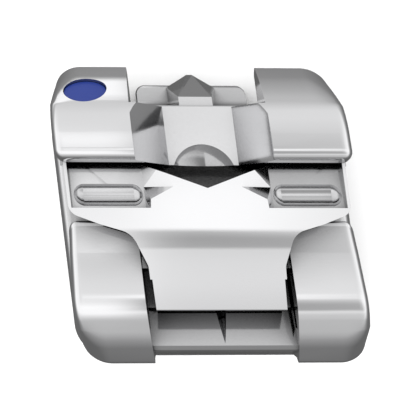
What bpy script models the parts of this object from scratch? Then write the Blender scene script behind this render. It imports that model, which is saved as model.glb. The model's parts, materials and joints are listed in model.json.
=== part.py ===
"""Self-ligating orthodontic bracket, closed.

+Z points away from the tooth, +Y to the gum and +X across the tooth. The bracket lies on its bonding base.
Outlines are drawn upright and leaned afterwards, because the real bracket is a rhomboid.
"""
import math

import bmesh
import bpy
from mathutils import Matrix, Vector

MM = 0.001

# Lean of the rhomboid: sideways shift for each unit of height
LEAN = 0.128

# Bonding base
BASE_HALF_WIDTH = 1.64 * MM
BASE_LOW_END = -1.53 * MM
BASE_SHOULDER = 1.26 * MM
BASE_THICKNESS = 0.34 * MM
BASE_CORNER = 0.34 * MM
BASE_EDGE_ROUND = 0.05 * MM
BASE_EDGE_STEPS = 2
TONGUE_HALF_WIDTH = 0.63 * MM
TONGUE_END = 1.54 * MM
TONGUE_CORNER = 0.11 * MM
POST_SIZE = 0.22 * MM
POST_PITCH_ACROSS = 0.44 * MM
POST_PITCH_UP = 0.40 * MM
POST_DEPTH = 0.13 * MM
POST_UNDERCUT = 0.03 * MM
POSTS_ACROSS = 6
POSTS_UP = 6
RIM_WIDTH = 0.16 * MM

# Archwire slot, 0.022 x 0.028 inch
SLOT_HEIGHT = 0.5588 * MM
SLOT_DEPTH = 0.7112 * MM
SLOT_LOW_WALL = -0.05 * MM
SLOT_MOUTH = 1.45 * MM
SLOT_WALL = 0.17 * MM
SLOT_EDGE_ROUND = 0.03 * MM

# Tie-wings
WING_HALF_WIDTH = 1.445 * MM
UPPER_CORNER = 0.30 * MM
LOWER_CORNER = 0.24 * MM
LOWER_SPLAY = 0.05
UPPER_GAP_HALF = 0.67 * MM
LOWER_GAP_HALF = 0.755 * MM
UPPER_FRONT = 1.95 * MM
UPPER_TIP = 1.57 * MM
UPPER_TIP_LEVEL = 1.16 * MM
UPPER_BEND = 0.98 * MM
UPPER_DROP = 0.06 * MM
UPPER_BULGE = 0.05 * MM
CREST_ROUND = 0.60 * MM
KNEE_ROUND = 2.0 * MM
LIP_END = 0.515 * MM
LIP_SLANT = 0.02 * MM
LIP_ROUND = 0.09 * MM
LOWER_TIP = -1.55 * MM
LOWER_TIP_LEVEL = 0.98 * MM
LOWER_TIP_ROUND = 0.16 * MM
LOWER_PEAK = -0.10 * MM
LOWER_CREASE = -0.37 * MM
LOWER_CREASE_ROUND = 0.10 * MM
LOWER_BEND = -0.92 * MM
LOWER_BEND_ROUND = 0.40 * MM
NECK_UPPER = 1.08 * MM
NECK_LOWER = -1.12 * MM
NECK_FILLET = 0.09 * MM
NECK_SPREAD = 0.15 * MM
TIP_THICKNESS = 0.14 * MM
TIP_SLANT = 0.055 * MM
TIP_ROUND = 0.05 * MM
UNDERCUT_RISE = 0.035 * MM
UNDERCUT_ROUND = 0.11 * MM
WING_EDGE_ROUND = 0.045 * MM
EDGE_RINGS = 4
CORNER_RINGS = 7
PEAK_FALL = (-1.5, -1.0)

# Bridge between the upper wings
BRIDGE_LEVEL = 1.50 * MM
BRIDGE_FLAT_HALF = 0.35 * MM
BRIDGE_TOP = 1.10 * MM
BRIDGE_SHOULDER = 0.10 * MM
NOTCH_RADIUS = 0.33 * MM
NOTCH_PLACE = 0.40 * MM
NOTCH_LIFT = 0.08 * MM

# Flank that falls from the bridge to the tongue, and the midline wedge on it
FLANK_DROP = 0.05 * MM
FLANK_RUN = 0.16 * MM
FLANK_FILLET = 0.25 * MM
WEDGE_END = 1.61 * MM
WEDGE_STEP = 0.12 * MM
WEDGE_DROP = 0.06 * MM
WEDGE_FOOT_HALF = 0.27 * MM
WEDGE_FOOT_SETBACK = 0.04 * MM
WEDGE_RIDGE_HALF = 0.17 * MM
WEDGE_TIP_HALF = 0.03 * MM
WEDGE_HEIGHT = 0.17 * MM

# Orientation dot
DOT_RADIUS = 0.215 * MM
DOT_PLACE = -1.09 * MM
DOT_DOWN_SLOPE = 0.39 * MM
DOT_DEPTH = 0.09 * MM
DOT_FILL = 0.04 * MM
DOT_CLEARANCE = 0.004 * MM

# Slide
SLIDE_ANGLE = math.radians(8.0)
SLIDE_CLEARANCE = 0.02 * MM
SLIDE_TRAVEL = 0.60 * MM
SLIDE_THICKNESS = 0.245 * MM
HEAD_HALF_WIDTH = 1.385 * MM
HEAD_TOP = 0.66 * MM
HEAD_LOW = 0.02 * MM
HEAD_CORNER = 0.12 * MM
SHOULDER_RUN = 0.285 * MM
SHOULDER_LEVEL = -0.09 * MM
SHOULDER_ROUND = 0.30 * MM
WAIST_RUN = 0.12 * MM
WAIST_LEVEL = -0.18 * MM
WAIST_ROUND = 0.20 * MM
TAIL_START = -0.50 * MM
TAIL_CORNER = 0.12 * MM
TAIL_HALF_WIDTH = 0.68 * MM
TAIL_END = -0.95 * MM
TAIL_FRONT_LEVEL = 1.42 * MM
TAIL_BEND = -0.23 * MM
TAIL_BEND_RADIUS = 0.50 * MM
TAIL_EDGE_ROUND = 0.02 * MM
CHANNEL_LEVEL = 0.98 * MM
CHANNEL_END = -1.33 * MM
CHANNEL_NOSE = 0.06 * MM
GROOVE_STEP = 0.01 * MM
RAIL_HALF_WIDTH = 0.85 * MM
RAIL_THICKNESS = 0.13 * MM
RAIL_END = -0.53 * MM
V_HALF_WIDTH = 0.63 * MM
V_TOP = 0.50 * MM
V_POINT = 0.265 * MM
POCKET_DEPTH = 0.02 * MM
POCKET_SLOPE = math.radians(15.0)
POCKET_LOW = 0.07 * MM
POCKET_INNER = 0.63 * MM
POCKET_RIM = 0.03 * MM
TAB_TOP_HALF = 0.335 * MM
TAB_TOP = 0.28 * MM
TAB_FOOT_HALF = 0.58 * MM
TROUGH_RADIUS = 0.112 * MM
TROUGH_MARGIN = 0.012 * MM

# Spring pin and its slot in the slide
PIN_RADIUS = 0.19 * MM
PIN_WALL = 0.05 * MM
PIN_SLIT = 0.07 * MM
PIN_LENGTH = 0.46 * MM
PIN_REACH = 0.14 * MM
PIN_PLACE = -0.66 * MM
PIN_CLEARANCE = 0.012 * MM
SEAT_EXTRA = 0.03 * MM
END_CLEARANCE = 0.02 * MM
SEAT_STEPS = 24
RUN_STEPS = 12

# Recess past the slide's tail, and the scribe groove on its midline
RECESS_START = -0.94 * MM
RECESS_DEPTH = 0.08 * MM
SCRIBE_HALF_WIDTH = 0.055 * MM
SCRIBE_DEPTH = 0.06 * MM
SCRIBE_END = -1.31 * MM

OVER = 0.3 * MM
EMBED = 0.02 * MM
MERGE = 1e-7
WELD = 0.002 * MM

SLOT_FLOOR = SLOT_MOUTH - SLOT_DEPTH
SLOT_HIGH_WALL = SLOT_LOW_WALL + SLOT_HEIGHT
SLIDE_BACK = SLOT_MOUTH + SLIDE_CLEARANCE
SLIDE_FRONT = SLIDE_BACK + SLIDE_THICKNESS
STOP_FACE = SLOT_LOW_WALL - SLOT_WALL


def start_scene():
    for obj in list(bpy.data.objects):
        bpy.data.objects.remove(obj, do_unlink=True)
    parts = bpy.data.collections.new("orthodontic_bracket")
    cutters = bpy.data.collections.new("cutters")
    bpy.context.scene.collection.children.link(parts)
    bpy.context.scene.collection.children.link(cutters)
    return parts, cutters


PARTS, CUTTERS = start_scene()


def ramp(start, level, y):
    """Height at y of a plane that follows the slide's travel from start."""
    return level + max(0.0, start - y) * math.tan(SLIDE_ANGLE)


def arc_corner(before, corner, after, radius, steps):
    """Points of a fillet at one corner of an outline."""
    p = Vector(corner)
    a = (Vector(before) - p).normalized()
    b = (Vector(after) - p).normalized()
    half = a.angle(b) / 2
    room = 0.48 * min((Vector(before) - p).length, (Vector(after) - p).length)
    reach = min(radius / math.tan(half), room)
    centre = p + (a + b).normalized() * reach / math.cos(half)
    start = p + a * reach - centre
    turn = start.angle_signed(p + b * reach - centre)
    return [centre + Matrix.Rotation(-turn * i / steps, 2) @ start for i in range(steps + 1)]


def rounded(corners, steps=6):
    """Outline from (a, b) or (a, b, radius) corners, with the given fillets."""
    points = []
    for i, corner in enumerate(corners):
        if len(corner) == 2:
            points.append(Vector(corner))
            continue
        before = corners[i - 1][:2]
        after = corners[(i + 1) % len(corners)][:2]
        points += arc_corner(before, corner[:2], after, corner[2], steps)
    return points


def lean(mesh):
    for vertex in mesh.vertices:
        vertex.co.x -= LEAN * vertex.co.y


def new_object(name, mesh, collection):
    obj = bpy.data.objects.new(name, mesh)
    collection.objects.link(obj)
    if collection is CUTTERS:
        obj.hide_render = True
        obj.display_type = "WIRE"
    return obj


def closed_mesh(source, turn):
    """Mesh of a filled curve, with its caps welded and its shape turned into place."""
    bpy.context.view_layer.update()
    graph = bpy.context.evaluated_depsgraph_get()
    mesh = bpy.data.meshes.new_from_object(source.evaluated_get(graph))
    bpy.data.objects.remove(source)
    mesh.transform(turn)
    shape = bmesh.new()
    shape.from_mesh(mesh)
    bmesh.ops.remove_doubles(shape, verts=shape.verts, dist=MERGE)
    bmesh.ops.recalc_face_normals(shape, faces=shape.faces)
    shape.to_mesh(mesh)
    shape.free()
    return mesh


TURNS = {
    "X": Matrix(((0, 0, 1, 0), (1, 0, 0, 0), (0, 1, 0, 0), (0, 0, 0, 1))),
    "Y": Matrix(((1, 0, 0, 0), (0, 0, 1, 0), (0, 1, 0, 0), (0, 0, 0, 1))),
    "Z": Matrix.Identity(4),
}


def prism(name, points, low, high, along, collection=CUTTERS, place=None):
    """Outline in the two axes other than `along`, extruded from low to high, then leaned or placed."""
    curve = bpy.data.curves.new(name, "CURVE")
    curve.dimensions = "2D"
    curve.fill_mode = "BOTH"
    curve.extrude = (high - low) / 2
    spline = curve.splines.new("POLY")
    spline.points.add(len(points) - 1)
    for target, (a, b) in zip(spline.points, points):
        target.co = (a, b, 0, 1)
    spline.use_cyclic_u = True
    source = bpy.data.objects.new(name, curve)
    bpy.context.scene.collection.objects.link(source)
    mid = Matrix.Translation((0, 0, (low + high) / 2))
    mesh = closed_mesh(source, TURNS[along] @ mid)
    if place is None:
        lean(mesh)
    else:
        mesh.transform(place)
    return new_object(name, mesh, collection)


def block(name, x, y, z, collection=CUTTERS):
    corners = [(x[0], y[0]), (x[1], y[0]), (x[1], y[1]), (x[0], y[1])]
    return prism(name, corners, z[0], z[1], "Z", collection)


def solid(name, shape, collection=CUTTERS):
    bmesh.ops.remove_doubles(shape, verts=shape.verts, dist=MERGE)
    bmesh.ops.triangulate(shape, faces=[f for f in shape.faces if len(f.verts) == 4])
    bmesh.ops.recalc_face_normals(shape, faces=shape.faces)
    mesh = bpy.data.meshes.new(name)
    shape.to_mesh(mesh)
    shape.free()
    lean(mesh)
    return new_object(name, mesh, collection)


def loft(name, rings, collection=CUTTERS, crease=None):
    """Skin between outlines of equal point count, with its ends folded from the last point to a crease."""
    shape = bmesh.new()
    loops = [[shape.verts.new(point) for point in ring] for ring in rings]
    for lower, upper in zip(loops, loops[1:]):
        for i in range(len(lower)):
            j = (i + 1) % len(lower)
            shape.faces.new((lower[i], lower[j], upper[j], upper[i]))
    for loop in (loops[0], loops[-1]):
        if crease is None:
            shape.faces.new(loop)
        else:
            shape.faces.new(loop[crease:])
            shape.faces.new(loop[:crease + 1] + loop[-1:])
    return solid(name, shape, collection)


def ball(name, radius, centre, segments=32):
    shape = bmesh.new()
    bmesh.ops.create_uvsphere(shape, u_segments=segments, v_segments=segments // 2, radius=radius)
    bmesh.ops.translate(shape, vec=centre, verts=shape.verts)
    return solid(name, shape)


def round_bar(name, radius, ends, y, z):
    """Bar along X with round ends."""
    shape = bmesh.new()
    bmesh.ops.create_uvsphere(shape, u_segments=20, v_segments=10, radius=radius)
    bmesh.ops.rotate(shape, matrix=Matrix.Rotation(math.pi / 2, 3, "Y"), verts=shape.verts)
    middle = (ends[0] + ends[1]) / 2
    half = (ends[1] - ends[0]) / 2 - radius
    for vertex in shape.verts:
        side = 0 if abs(vertex.co.x) < MERGE else math.copysign(1, vertex.co.x)
        vertex.co += Vector((middle + side * half, y, z))
    return solid(name, shape)


def side_name(side):
    return "left" if side < 0 else "right"


def boolean(target, tool, operation):
    modifier = target.modifiers.new(tool.name, "BOOLEAN")
    modifier.operation = operation
    modifier.object = tool
    modifier.solver = "EXACT"


def cut(target, tool):
    boolean(target, tool, "DIFFERENCE")


def join(target, tool):
    boolean(target, tool, "UNION")


def keep_inside(target, tool):
    boolean(target, tool, "INTERSECT")


def clean(obj):
    """Merge the hair-thin leftovers of the cuts."""
    weld = obj.modifiers.new("weld", "WELD")
    weld.merge_threshold = WELD


def finish(obj, name, colour, roughness, metallic):
    material = bpy.data.materials.new(name)
    material.use_nodes = True
    shader = material.node_tree.nodes["Principled BSDF"]
    shader.inputs["Base Color"].default_value = (*colour, 1)
    shader.inputs["Roughness"].default_value = roughness
    shader.inputs["Metallic"].default_value = metallic
    obj.data.materials.append(material)
    obj.data.shade_smooth()
    obj.data.set_sharp_from_angle(angle=math.radians(30))


def base_outline():
    """Plan of the bonding base, with the tongue that carries the midline wedge."""
    w = BASE_HALF_WIDTH
    t = TONGUE_HALF_WIDTH
    return rounded([
        (-w, BASE_LOW_END, BASE_CORNER), (w, BASE_LOW_END, BASE_CORNER),
        (w, BASE_SHOULDER, BASE_CORNER), (t, BASE_SHOULDER),
        (t, TONGUE_END, TONGUE_CORNER), (-t, TONGUE_END, TONGUE_CORNER),
        (-t, BASE_SHOULDER), (-w, BASE_SHOULDER, BASE_CORNER)])


def inward_steps(outline):
    """Step at each point of an outline that shrinks it by one unit."""
    area = sum(a.cross(b) for a, b in zip(outline, outline[1:] + outline[:1]))
    steps = []
    for i, point in enumerate(outline):
        before = (point - outline[i - 1]).normalized()
        after = (outline[(i + 1) % len(outline)] - point).normalized()
        side = Vector((-before.y - after.y, before.x + after.x))
        steps.append(side * math.copysign(1, area) / (1 + before.dot(after)))
    return steps


def make_base():
    """Bonding base, with a rounded edge on its upper side."""
    outline = base_outline()
    steps = inward_steps(outline)
    rings = [[(x, y, 0) for x, y in outline]]
    for i in range(BASE_EDGE_STEPS + 1):
        angle = math.pi / 2 * i / BASE_EDGE_STEPS
        inset = BASE_EDGE_ROUND * (1 - math.cos(angle))
        z = BASE_THICKNESS - BASE_EDGE_ROUND * (1 - math.sin(angle))
        rings.append([(*(point + step * inset), z) for point, step in zip(outline, steps)])
    return loft("bracket_body", rings, PARTS)


def upper_slope(share, lift):
    """Point above the straight line from the upper wings' bend to their tip."""
    bend = Vector((UPPER_BEND, UPPER_FRONT - UPPER_DROP))
    line = Vector((UPPER_TIP, UPPER_TIP_LEVEL)) - bend
    return bend + line * share + Vector((-line.y, line.x)).normalized() * lift


def side_profile():
    """Side view of the body: both wings, their necks and the archwire slot between them."""
    lip = SLIDE_FRONT + SLIDE_CLEARANCE
    clear = SLIDE_BACK - 2 * SLIDE_CLEARANCE
    peak = SLOT_MOUTH - SLIDE_CLEARANCE
    under_upper = UPPER_TIP_LEVEL - TIP_THICKNESS
    under_lower = LOWER_TIP_LEVEL - TIP_THICKNESS
    foot = BASE_THICKNESS + NECK_FILLET
    buried = BASE_THICKNESS / 2
    return rounded([
        (SLOT_HIGH_WALL, SLOT_FLOOR),
        (SLOT_HIGH_WALL, SLOT_MOUTH, SLOT_EDGE_ROUND),
        (LIP_END, lip),
        (LIP_END + LIP_SLANT, UPPER_FRONT, LIP_ROUND),
        (*upper_slope(0, 0), CREST_ROUND),
        (*upper_slope(0.5, UPPER_BULGE), KNEE_ROUND),
        (UPPER_TIP, UPPER_TIP_LEVEL, TIP_ROUND),
        (UPPER_TIP - TIP_SLANT, under_upper, TIP_ROUND),
        (NECK_UPPER, under_upper + UNDERCUT_RISE, UNDERCUT_ROUND),
        (NECK_UPPER, foot, NECK_FILLET),
        (NECK_UPPER + NECK_SPREAD, BASE_THICKNESS - EMBED),
        (NECK_UPPER + NECK_SPREAD, buried),
        (SLOT_LOW_WALL, buried),
        (NECK_LOWER - NECK_SPREAD, buried),
        (NECK_LOWER - NECK_SPREAD, BASE_THICKNESS - EMBED),
        (NECK_LOWER, foot, NECK_FILLET),
        (NECK_LOWER, under_lower + UNDERCUT_RISE, UNDERCUT_ROUND),
        (LOWER_TIP + TIP_SLANT, under_lower, TIP_ROUND),
        (LOWER_TIP, LOWER_TIP_LEVEL, LOWER_TIP_ROUND),
        (LOWER_BEND, ramp(SLOT_LOW_WALL, clear, LOWER_BEND), LOWER_BEND_ROUND),
        (LOWER_CREASE, ramp(SLOT_LOW_WALL, clear, LOWER_CREASE), LOWER_CREASE_ROUND),
        (LOWER_PEAK, peak, SLOT_EDGE_ROUND),
        (SLOT_LOW_WALL, peak, SLOT_EDGE_ROUND),
        (SLOT_LOW_WALL, SLOT_FLOOR)], steps=8)


def wing_steps(profile):
    """Inward steps of the side view, with the slot left square and the low wall's top drawn back."""
    steps = []
    for point, step in zip(profile, inward_steps(profile)):
        on_peak = LOWER_PEAK - SLOT_EDGE_ROUND < point.x < SLOT_LOW_WALL + MERGE
        in_slot = SLOT_LOW_WALL - MERGE < point.x < SLOT_HIGH_WALL + SLOT_EDGE_ROUND + MERGE
        if on_peak and point.y > SLOT_MOUTH - SLOT_DEPTH / 2:
            step = Vector(PEAK_FALL)
        elif in_slot and point.y < SLIDE_BACK:
            step = Vector((0, 0))
        steps.append(step)
    return steps


def fallen_back(radius, depth):
    """How far a quarter round of this radius has fallen back at a depth from its outer end."""
    return radius - math.sqrt(max(0.0, radius ** 2 - max(0.0, radius - depth) ** 2))


def wing_ring(profile, steps, depth, side):
    """Side view of the wings at a depth from their outer side, drawn in for the rounded edges."""
    upper = 1 - fallen_back(UPPER_CORNER, depth) / (UPPER_TIP - NECK_UPPER)
    lower = 1 - fallen_back(LOWER_CORNER, depth) / (NECK_LOWER - LOWER_TIP)
    ring = []
    for point, step in zip(profile, steps):
        y, z = point + step * fallen_back(WING_EDGE_ROUND, depth)
        y = NECK_UPPER + (y - NECK_UPPER) * upper if y > NECK_UPPER else y
        y = NECK_LOWER + (y - NECK_LOWER) * lower if y < NECK_LOWER else y
        splay = LOWER_SPLAY * max(0.0, SLOT_LOW_WALL - y)
        ring.append((side * (WING_HALF_WIDTH - depth + splay), y, z))
    return ring


def quarter_depths(radius, count):
    """Depths of even steps round a quarter circle."""
    return [radius * (1 - math.cos(math.pi / 2 * i / count)) for i in range(count + 1)]


def make_wings():
    """Both pairs of tie-wings as one skin from the left side to the right."""
    profile = side_profile()
    steps = wing_steps(profile)
    corner = quarter_depths(UPPER_CORNER, CORNER_RINGS)
    depths = quarter_depths(WING_EDGE_ROUND, EDGE_RINGS)
    depths += [depth for depth in corner if depth > 1.2 * WING_EDGE_ROUND]
    left = [wing_ring(profile, steps, depth, -1) for depth in depths]
    right = [wing_ring(profile, steps, depth, 1) for depth in reversed(depths)]
    under_slot = min(range(len(profile)), key=lambda i: profile[i].y + abs(profile[i].x - SLOT_LOW_WALL))
    return loft("wings", left + right, crease=under_slot)


def bridge_cutter():
    """Trough over the bridge: a flat middle and a slanted facet up to each wing."""
    shoulder = UPPER_FRONT - BRIDGE_SHOULDER
    outline = [
        (-BRIDGE_FLAT_HALF, BRIDGE_LEVEL), (BRIDGE_FLAT_HALF, BRIDGE_LEVEL),
        (UPPER_GAP_HALF, shoulder), (UPPER_GAP_HALF, UPPER_FRONT + OVER),
        (-UPPER_GAP_HALF, UPPER_FRONT + OVER), (-UPPER_GAP_HALF, shoulder)]
    return prism("bridge_trough", outline, SLOT_LOW_WALL, UPPER_TIP + OVER, "Y")


def tongue_gap_cutter():
    """Clears the wings away above the tongue."""
    ends = (BRIDGE_TOP, UPPER_TIP + OVER)
    return block("tongue_gap", (-UPPER_GAP_HALF, UPPER_GAP_HALF), ends, (-OVER, UPPER_FRONT + OVER))


def tongue_core():
    """Sloping flank from the bridge down to the tongue of the base."""
    top = BRIDGE_LEVEL - FLANK_DROP
    start = BRIDGE_TOP - OVER / 2
    end = TONGUE_END - 2 * EMBED
    foot = BASE_THICKNESS / 2
    profile = rounded([
        (start, foot), (start, top), (BRIDGE_TOP + EMBED, top, EMBED),
        (BRIDGE_TOP + FLANK_RUN, BASE_THICKNESS + FLANK_RUN, FLANK_FILLET),
        (end, BASE_THICKNESS - EMBED), (end, foot)])
    half = TONGUE_HALF_WIDTH - EMBED
    core = prism("tongue_core", profile, -half - OVER, half + OVER, "X")
    plan = rounded([
        (-half, start - OVER), (half, start - OVER),
        (half, end + EMBED, TONGUE_CORNER), (-half, end + EMBED, TONGUE_CORNER)])
    keep_inside(core, prism("tongue_plan", plan, 0, UPPER_FRONT, "Z"))
    return core


def channel_core():
    """Block that fills the space under the lower wings on the midline."""
    ends = (BASE_LOW_END + 2 * EMBED, NECK_LOWER + OVER / 2)
    half = LOWER_GAP_HALF + EMBED
    return block("channel_core", (-half, half), ends, (BASE_THICKNESS / 3, LOWER_TIP_LEVEL - EMBED))


def travel_shear():
    """Leans an upright shape and tilts it along the slide's travel, from the stop face on."""
    slope = math.tan(SLIDE_ANGLE)
    return Matrix(((1, -LEAN, 0, 0), (0, 1, 0, 0), (0, -slope, 1, slope * STOP_FACE), (0, 0, 0, 1)))


def recess_level(y):
    """Height of the recess floor, which falls from the channel's end towards the tail."""
    start = ramp(STOP_FACE, CHANNEL_LEVEL, RECESS_START) - RECESS_DEPTH
    end = ramp(STOP_FACE, CHANNEL_LEVEL, CHANNEL_END)
    share = (RECESS_START - y) / (RECESS_START - CHANNEL_END)
    return start + (end - start) * share


def channel_cutter():
    """Room for the slide's tail between the lower wings, and the nose past its end."""
    far = LOWER_TIP - OVER
    edge = BASE_LOW_END + EMBED
    crest = ramp(STOP_FACE, CHANNEL_LEVEL, CHANNEL_END)
    profile = rounded([
        (STOP_FACE, UPPER_FRONT), (STOP_FACE, CHANNEL_LEVEL),
        (RECESS_START, ramp(STOP_FACE, CHANNEL_LEVEL, RECESS_START)),
        (RECESS_START, recess_level(RECESS_START)), (CHANNEL_END, crest),
        (CHANNEL_END - CHANNEL_NOSE, crest - CHANNEL_NOSE, CHANNEL_NOSE),
        (edge, BASE_THICKNESS - EMBED), (edge, -OVER), (far, -OVER), (far, UPPER_FRONT)])
    return prism("channel", profile, -LOWER_GAP_HALF, LOWER_GAP_HALF, "X")


def groove_cutter(side):
    """Groove for one rail, closed where the rail stops when the slide is fully open."""
    inner = LOWER_GAP_HALF - EMBED
    outer = RAIL_HALF_WIDTH + SLIDE_CLEARANCE
    floor = CHANNEL_LEVEL - GROOVE_STEP
    roof = floor + RAIL_THICKNESS + 2 * SLIDE_CLEARANCE
    end = RAIL_END - SLIDE_TRAVEL - END_CLEARANCE
    x = sorted((side * inner, side * outer))
    outline = [(x[0], floor), (x[1], floor), (x[1], roof), (x[0], roof)]
    return prism("groove_" + side_name(side), outline, end, STOP_FACE - EMBED, "Y", CUTTERS, travel_shear())


def head_recess_cutter(side):
    """Space under one upper lip for the top of the slide's head."""
    inner = V_HALF_WIDTH - SLIDE_CLEARANCE
    x = sorted((side * inner, side * (WING_HALF_WIDTH + OVER)))
    return block("head_recess_" + side_name(side), x, (SLOT_LOW_WALL, HEAD_TOP + END_CLEARANCE),
                 (SLOT_MOUTH, SLIDE_FRONT + SLIDE_CLEARANCE))


def scribe_cutter():
    """Pointed groove on the midline of the recess floor."""
    rings = []
    for y, half in ((RECESS_START + EMBED, SCRIBE_HALF_WIDTH), (SCRIBE_END, SCRIBE_HALF_WIDTH / 25)):
        level = recess_level(y)
        depth = SCRIBE_DEPTH * half / SCRIBE_HALF_WIDTH
        rings.append([(-half, y, level + EMBED / 2), (0, y, level - depth), (half, y, level + EMBED / 2)])
    return loft("scribe_groove", rings)


def wedge_ring(low_half, low_y, top_half, top_y, top_z):
    """Four corners of the wedge: two on the base and two on its ridge."""
    return [
        (-low_half, low_y, BASE_THICKNESS - EMBED), (low_half, low_y, BASE_THICKNESS - EMBED),
        (top_half, top_y, top_z), (-top_half, top_y, top_z)]


def wedge():
    """Faceted ridge on the midline of the tongue, pointing to the gum."""
    start = BRIDGE_TOP - 2 * EMBED
    foot = TONGUE_END - WEDGE_FOOT_SETBACK
    crest = BRIDGE_LEVEL - WEDGE_DROP
    return loft("midline_wedge", [
        wedge_ring(WEDGE_FOOT_HALF, start, WEDGE_RIDGE_HALF, start, crest),
        wedge_ring(WEDGE_FOOT_HALF, foot, WEDGE_RIDGE_HALF, BRIDGE_TOP + WEDGE_STEP, crest - WEDGE_DROP),
        wedge_ring(WEDGE_TIP_HALF, WEDGE_END, WEDGE_TIP_HALF, WEDGE_END, BASE_THICKNESS + WEDGE_HEIGHT)])


def retention_cutter():
    """Recess in the bonding face, leaving a rim and rows of undercut posts."""
    half = BASE_HALF_WIDTH - RIM_WIDTH
    ends = (BASE_LOW_END + RIM_WIDTH, BASE_SHOULDER - RIM_WIDTH)
    recess = block("retention_recess", (-half, half), ends, (-OVER, POST_DEPTH))
    for column in range(POSTS_ACROSS):
        for row in range(POSTS_UP):
            x = (column - (POSTS_ACROSS - 1) / 2) * POST_PITCH_ACROSS
            y = sum(ends) / 2 + (row - (POSTS_UP - 1) / 2) * POST_PITCH_UP
            cut(recess, post(f"post_{column}_{row}", x, y))
    return recess


def post(name, x, y):
    """Retention post, wider at its free end so that the adhesive locks round it."""
    wide = POST_SIZE / 2
    rings = []
    for z, half in ((-2 * OVER, wide), (0.0, wide), (POST_DEPTH + OVER, wide - POST_UNDERCUT)):
        rings.append([
            (x - half, y - half, z), (x + half, y - half, z),
            (x + half, y + half, z), (x - half, y + half, z)])
    return loft(name, rings)


def make_frame():
    """Wings, neck, channel, bridge and flank in one piece, before they are set on the base."""
    frame = make_wings()
    join(frame, channel_core())
    cut(frame, channel_cutter())
    cut(frame, tongue_gap_cutter())
    join(frame, tongue_core())
    cut(frame, bridge_cutter())
    join(frame, wedge())
    for side in (-1, 1):
        cut(frame, head_recess_cutter(side))
        cut(frame, groove_cutter(side))
    cut(frame, scribe_cutter())
    cut(frame, ball("notch", NOTCH_RADIUS, (0, NOTCH_PLACE, BRIDGE_LEVEL + NOTCH_LIFT)))
    return frame


def make_body():
    body = make_base()
    join(body, make_frame())
    cut(body, retention_cutter())
    cut(body, pin_bore())
    cut(body, dimple())
    clean(body)
    finish(body, "polished_steel", (0.78, 0.78, 0.79), 0.12, 1.0)
    return body


def placed(shape_matrix, y, z, tilt=0.0, x=0.0):
    """Place on the leaned midline, tilted about X."""
    spot = Vector((x - LEAN * y, y, z))
    return Matrix.Translation(spot) @ Matrix.Rotation(tilt, 4, "X") @ shape_matrix


def cylinder(name, radius, low, high, matrix, collection=CUTTERS, segments=32):
    shape = bmesh.new()
    bmesh.ops.create_cone(
        shape, cap_ends=True, segments=segments, radius1=radius, radius2=radius, depth=high - low)
    bmesh.ops.translate(shape, vec=(0, 0, (low + high) / 2), verts=shape.verts)
    mesh = bpy.data.meshes.new(name)
    shape.to_mesh(mesh)
    shape.free()
    mesh.transform(matrix)
    return new_object(name, mesh, collection)


def pin_matrix():
    return placed(Matrix.Identity(4), PIN_PLACE, ramp(STOP_FACE, CHANNEL_LEVEL, PIN_PLACE), -SLIDE_ANGLE)


def pin_bore():
    depth = PIN_LENGTH - PIN_REACH + PIN_CLEARANCE
    return cylinder("pin_bore", PIN_RADIUS + PIN_CLEARANCE, -depth, OVER, pin_matrix())


def make_pin():
    """Slit spring tube, standing square to the slide's ramp."""
    low = -(PIN_LENGTH - PIN_REACH)
    pin = cylinder("spring_pin", PIN_RADIUS, low, PIN_REACH, pin_matrix(), PARTS)
    cut(pin, cylinder("pin_hollow", PIN_RADIUS - PIN_WALL, low - OVER, PIN_REACH + OVER, pin_matrix()))
    shape = bmesh.new()
    bmesh.ops.create_cube(shape, size=1)
    bmesh.ops.scale(shape, vec=(PIN_SLIT, PIN_RADIUS * 2, PIN_LENGTH * 2), verts=shape.verts)
    bmesh.ops.translate(shape, vec=(0, -PIN_RADIUS, 0), verts=shape.verts)
    mesh = bpy.data.meshes.new("pin_slit")
    shape.to_mesh(mesh)
    shape.free()
    mesh.transform(pin_matrix())
    cut(pin, new_object("pin_slit", mesh, CUTTERS))
    finish(pin, "nickel_titanium", (0.55, 0.55, 0.57), 0.25, 1.0)
    return pin


def dot_matrix():
    """Middle of the dimple, square to the upper wing's sloping face."""
    bend = upper_slope(0, 0)
    line = upper_slope(1, 0) - bend
    y, z = upper_slope(DOT_DOWN_SLOPE / line.length, UPPER_BULGE)
    return placed(Matrix.Identity(4), y, z, math.atan2(line.y, line.x), DOT_PLACE)


def dimple():
    return cylinder("dimple", DOT_RADIUS, -DOT_DEPTH, OVER, dot_matrix(), segments=40)


def make_dot():
    low = DOT_CLEARANCE - DOT_DEPTH
    radius = DOT_RADIUS - DOT_CLEARANCE
    dot = cylinder("orientation_dot", radius, low, low + DOT_FILL, dot_matrix(), PARTS, 40)
    finish(dot, "blue_fill", (0.02, 0.05, 0.38), 0.3, 0.0)
    return dot


def slide_profile():
    """Side view of the slide: the head's plate over the slot and the tail down to the channel floor."""
    low = CHANNEL_LEVEL + SLIDE_CLEARANCE
    start = STOP_FACE - SLIDE_CLEARANCE
    return rounded([
        (HEAD_TOP, SLIDE_BACK), (HEAD_TOP, SLIDE_FRONT), (TAIL_BEND, SLIDE_FRONT, TAIL_BEND_RADIUS),
        (TAIL_END, TAIL_FRONT_LEVEL, TAIL_EDGE_ROUND), (TAIL_END, ramp(STOP_FACE, low, TAIL_END)),
        (start, ramp(STOP_FACE, low, start)), (start, SLIDE_BACK)], steps=10)


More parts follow.
